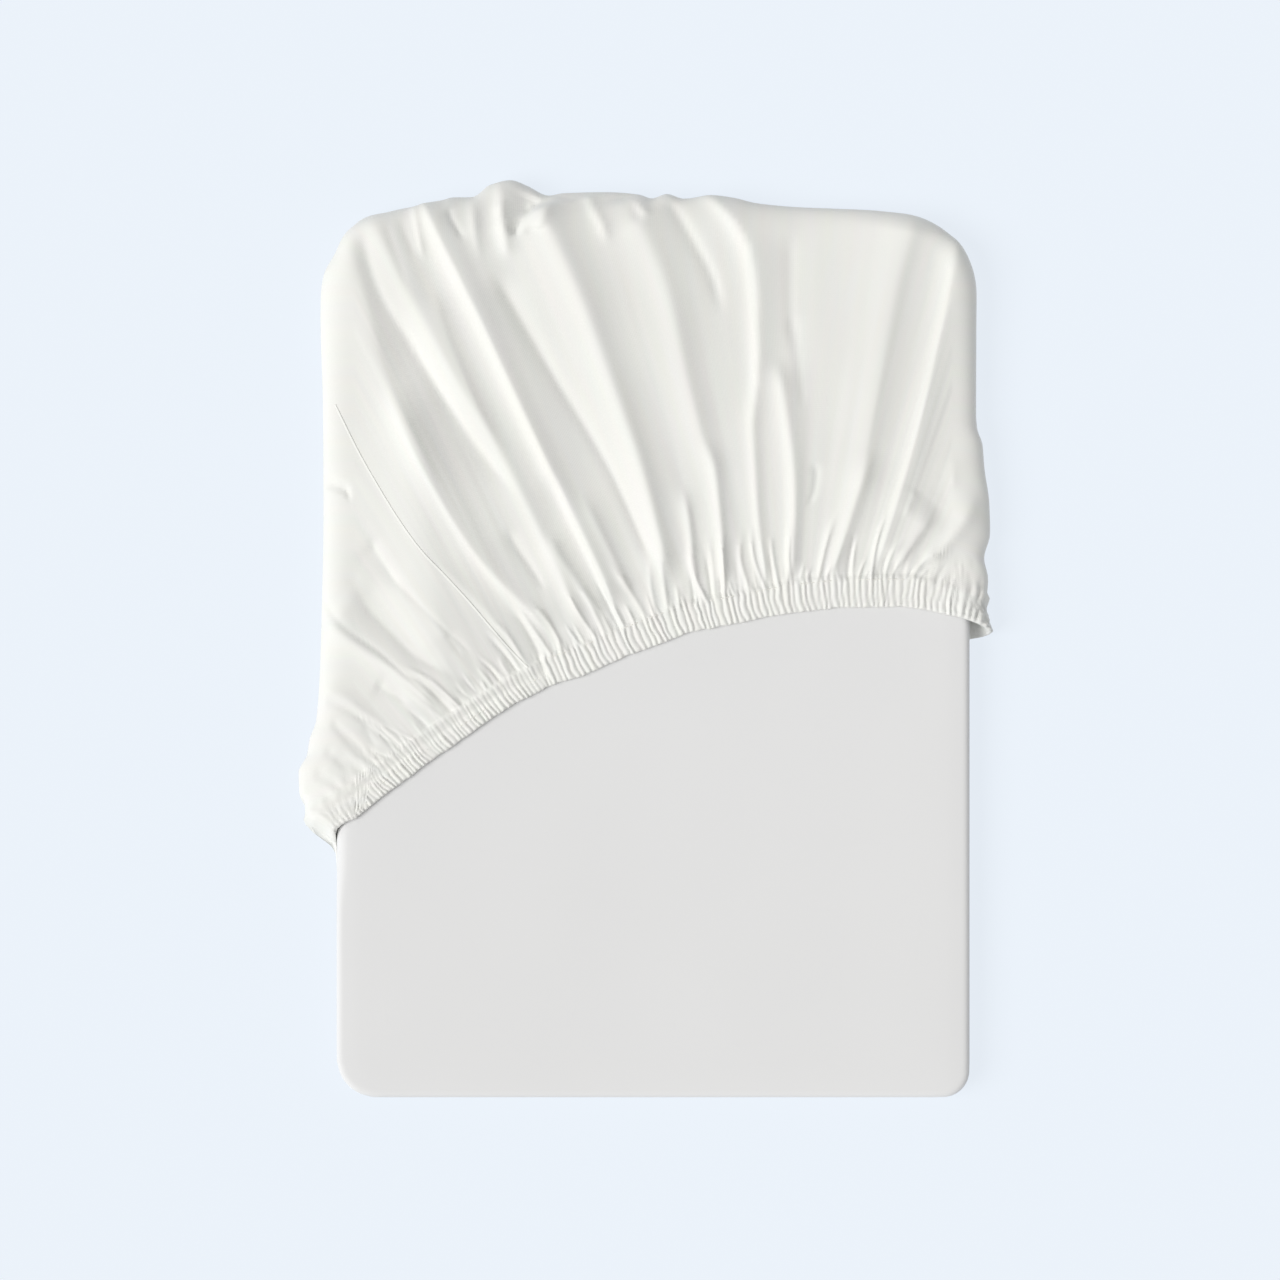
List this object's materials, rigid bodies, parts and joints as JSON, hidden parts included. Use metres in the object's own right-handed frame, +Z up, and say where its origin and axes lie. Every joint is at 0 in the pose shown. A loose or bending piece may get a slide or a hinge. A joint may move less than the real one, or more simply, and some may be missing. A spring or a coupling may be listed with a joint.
{
  "type": "fitted sheet on a mattress pad",
  "caption": "White fitted sheet with a gathered elastic hem, pulled in folds over the head end of a thin plain grey mattress pad that lies flat.",
  "frame": {"origin": "under the middle of the pad as seen from above, on the surface that the sheet's back rests on", "axes": "+X to the pad's right as seen from above, +Y toward the head end that the sheet covers, +Z up"},
  "size_m": [0.3292, 0.4349, 0.0302],
  "materials": {
    "white_cotton": "matte, finely woven",
    "pad_cover": "matte, smooth"
  },
  "bodies": {
    "root": {"sheet": "white_cotton", "mattress_pad": "pad_cover"}
  },
  "joints": []
}
